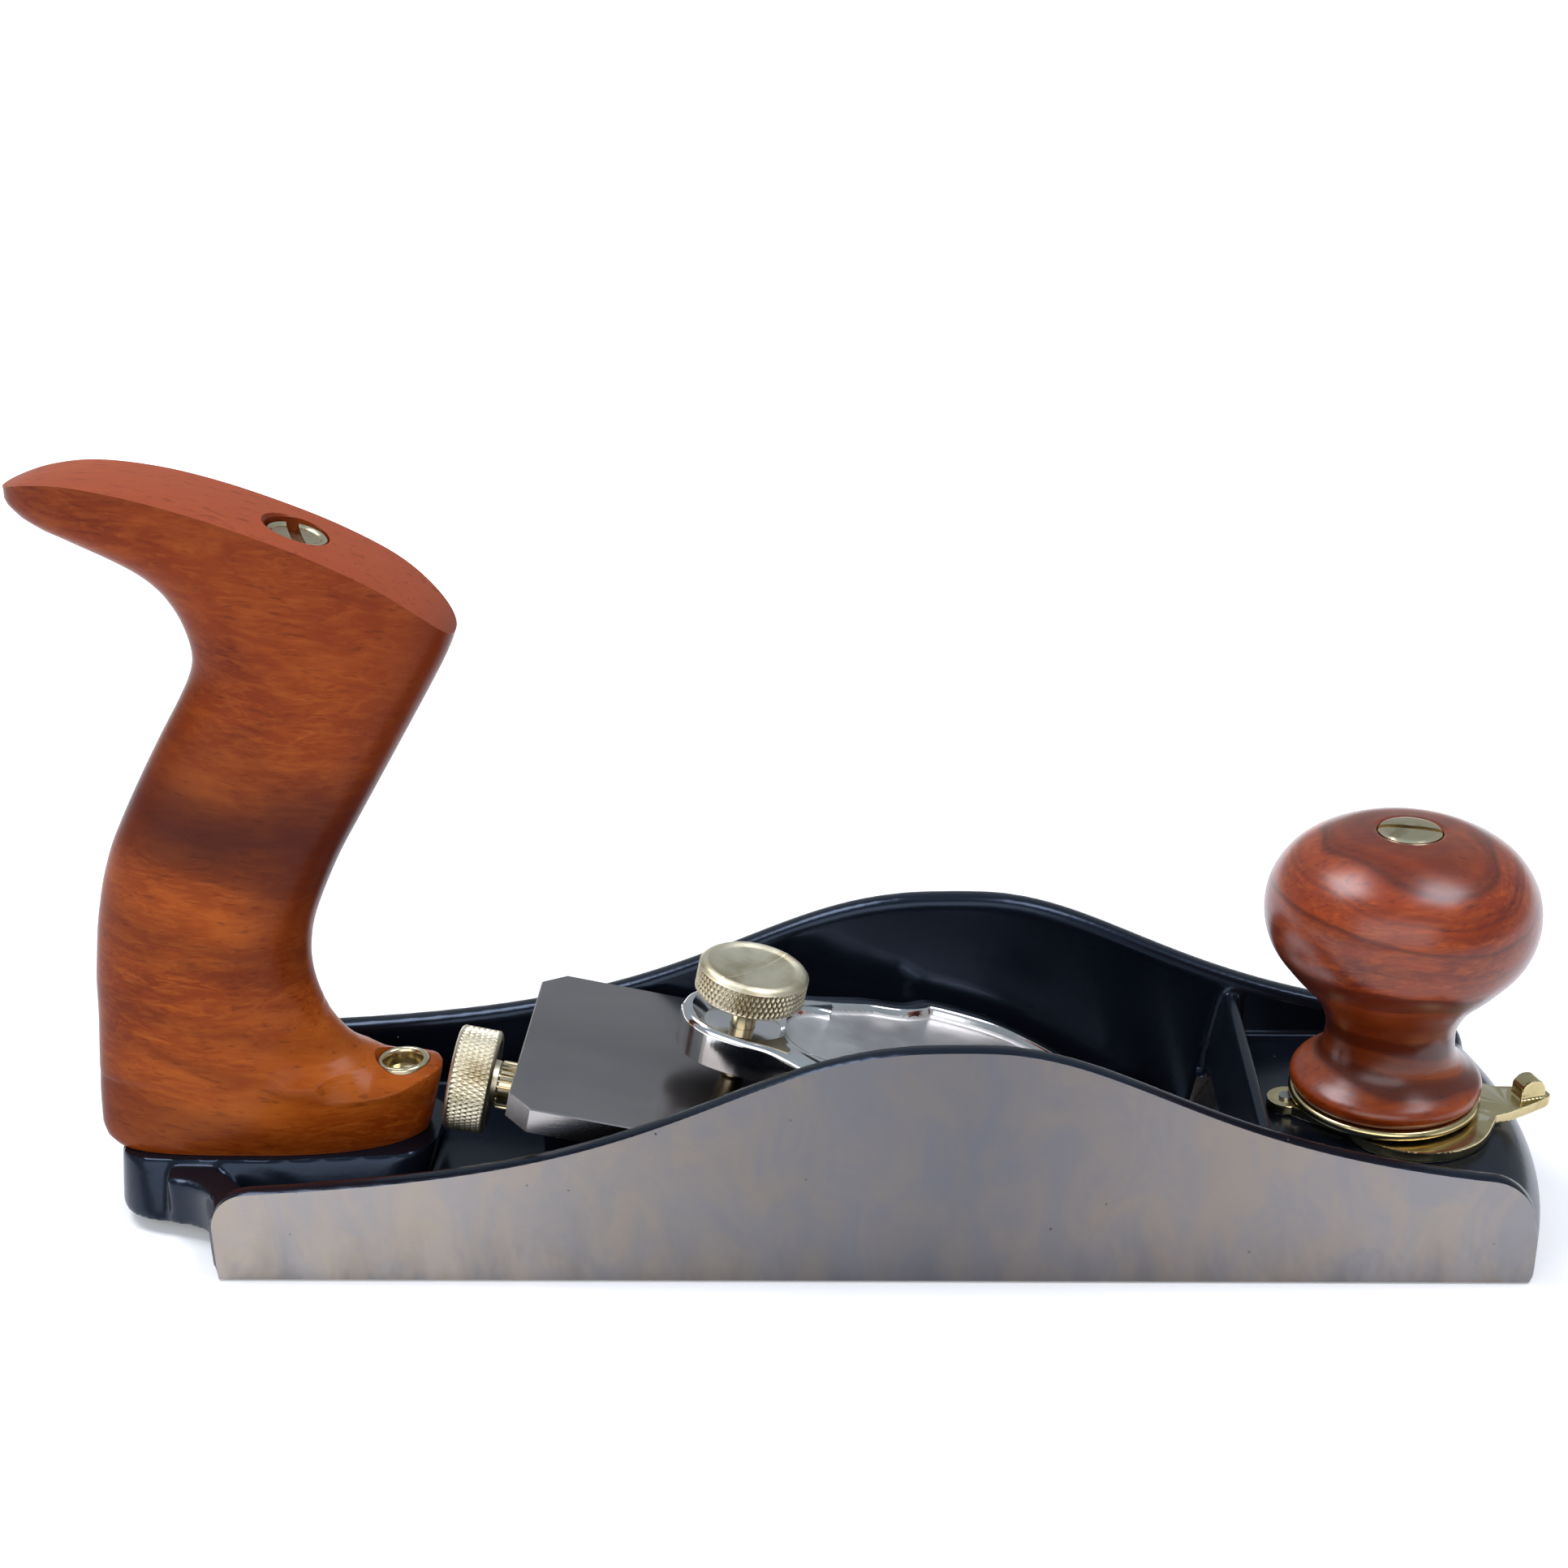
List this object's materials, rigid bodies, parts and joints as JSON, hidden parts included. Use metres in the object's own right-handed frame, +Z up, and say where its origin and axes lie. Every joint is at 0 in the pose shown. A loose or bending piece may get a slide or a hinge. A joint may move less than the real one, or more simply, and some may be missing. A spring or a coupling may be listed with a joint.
{
  "type": "hand plane",
  "caption": "Low-angle bench hand plane: trough-shaped iron body with swept cheeks, wooden rear tote and front knob, thick blade, thumbscrew cap and sliding toe.",
  "frame": {"origin": "centre of the flat sole, midway between the ends of the straight sides", "axes": "+X towards the toe along the cut, +Y to the left of a user standing behind the handle, +Z up, square to the sole"},
  "size_m": [0.2647, 0.0646, 0.1336],
  "materials": {
    "casting": "glossy black paint inside, ground grey on the sides and sole",
    "ground_steel": "ground tool steel",
    "plated": "polished nickel plate",
    "brass": "turned and knurled brass, part polished",
    "rod_steel": "bright drawn steel",
    "cherry": "figured reddish brown hardwood, satin lacquer"
  },
  "bodies": {
    "frame": {"body": "casting", "tote": "cherry", "tote_rod": "rod_steel", "tote_nut": "brass", "tote_front_rod": "rod_steel", "tote_front_nut": "brass", "lever_cap_screw": "rod_steel", "mouth_pin": "rod_steel"},
    "iron": {"blade": "ground_steel"},
    "adjuster": {"adjuster_wheel": "brass", "adjuster_collar": "brass", "adjuster_spindle": "rod_steel", "adjuster_disc": "rod_steel"},
    "cap": {"lever_cap": "plated"},
    "thumbscrew": {"cap_wheel": "brass", "cap_wheel_screw": "brass"},
    "toe": {"toe_plate": "ground_steel", "knob_washer": "brass"},
    "eccentric": {"mouth_lever": "brass"},
    "grip": {"knob": "cherry", "knob_nut": "brass", "toe_stud": "rod_steel"}
  },
  "joints": [
    {"name": "blade_slide", "type": "slide", "parent": "frame", "child": "iron", "axis": [0.9781, 0, -0.2079], "range_m": [-0.001, 0.0008]},
    {"name": "adjuster_turn", "type": "hinge", "parent": "iron", "child": "adjuster", "pos_m": [-0.07359, 0, 0.0217], "axis": [0.9781, 0, -0.2079], "range_deg": [-360.2, 288.2]},
    {"name": "lever_cap_slide", "type": "slide", "parent": "frame", "child": "cap", "axis": [-0.9781, 0, 0.2079], "range_m": [0, 0.0095]},
    {"name": "thumbscrew_turn", "type": "hinge", "parent": "cap", "child": "thumbscrew", "pos_m": [-0.0234, 0, 0.03803], "axis": [0.2079, 0, 0.9781], "range_deg": [0, 450]},
    {"name": "toe_slide", "type": "slide", "parent": "frame", "child": "toe", "axis": [1, 0, 0], "range_m": [-0.0006, 0.0015]},
    {"name": "mouth_lever_turn", "type": "hinge", "parent": "frame", "child": "eccentric", "pos_m": [0.0745, 0, 0.0176], "axis": [0, 0, 1], "range_deg": [-12.52, 31.27]},
    {"name": "knob_turn", "type": "hinge", "parent": "toe", "child": "grip", "pos_m": [0.0923, 0, 0.045], "axis": [0, 0, 1], "range_deg": [0, 180]}
  ],
  "couplings": [
    {"joint": "adjuster_turn", "follows": "blade_slide", "rad_per_m": 6283.2},
    {"joint": "mouth_lever_turn", "follows": "toe_slide", "rad_per_m": 363.64}
  ]
}
